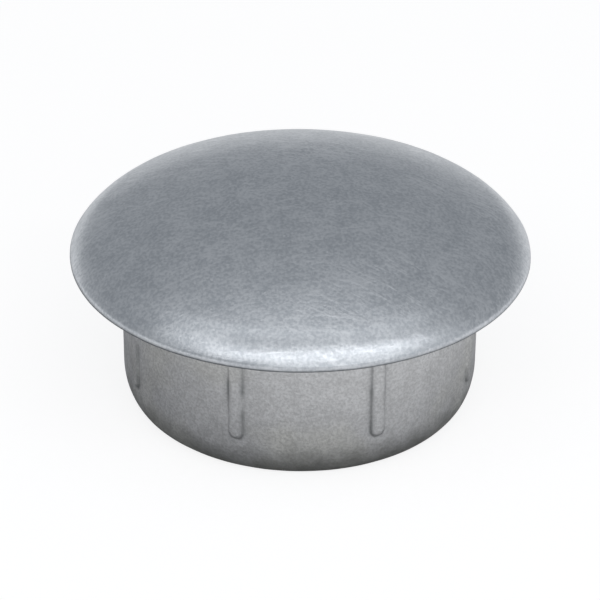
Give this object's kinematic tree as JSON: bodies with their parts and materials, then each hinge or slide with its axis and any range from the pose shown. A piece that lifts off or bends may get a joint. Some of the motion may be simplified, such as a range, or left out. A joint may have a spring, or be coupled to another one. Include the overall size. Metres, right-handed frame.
{
  "type": "fence post cap",
  "caption": "Domed push-in cap that closes the top of a round tubular fence post; its hollow spigot holds in the tube by crush ribs.",
  "frame": {"origin": "centre of the head's flat underside, the face that sits on the post's end", "axes": "+Z along the axis through the dome's crown, away from the post; -Y is the side between two ribs that faces the viewer"},
  "size_m": [0.0714, 0.0714, 0.0364],
  "materials": {
    "cast_aluminium": "as cast, tumbled to a satin sheen on the dome, grainier on the spigot"
  },
  "bodies": {
    "root": {"cap_casting": "cast_aluminium"}
  },
  "joints": []
}
